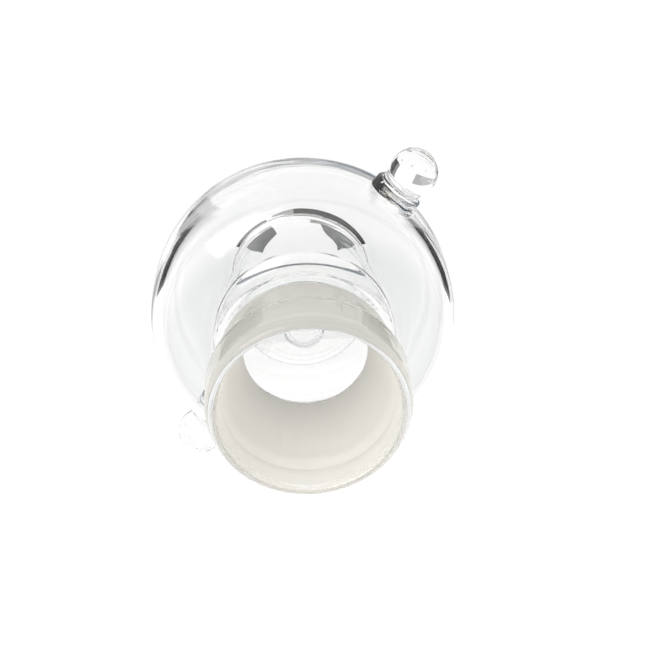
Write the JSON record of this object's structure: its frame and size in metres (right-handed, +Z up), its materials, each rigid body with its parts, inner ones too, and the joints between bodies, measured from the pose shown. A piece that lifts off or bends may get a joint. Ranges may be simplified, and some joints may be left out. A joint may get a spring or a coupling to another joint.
{
  "type": "glass wasp trap",
  "caption": "Squat clear blown-glass wasp trap with a wide ground neck, a heavy lip, an entry dome with a small hole under the base, and opposite ball knobs.",
  "frame": {"origin": "centre of the standing face of the base ring, on the neck's axis", "axes": "+Z up along the neck towards the mouth, +X through the right knob"},
  "size_m": [0.19, 0.14, 0.13],
  "materials": {
    "clear_glass": "clear, fire-polished, slightly uneven from hand blowing",
    "ground_glass": "clear outside, bore ground to a frosted milky white"
  },
  "bodies": {
    "root": {"bulb": "clear_glass", "neck_socket": "ground_glass", "neck_lip": "clear_glass", "base_ring": "clear_glass", "entry_funnel": "clear_glass", "entry_rim": "clear_glass", "right_knob_pad": "clear_glass", "right_knob": "clear_glass", "left_knob_pad": "clear_glass", "left_knob": "clear_glass"}
  },
  "joints": []
}
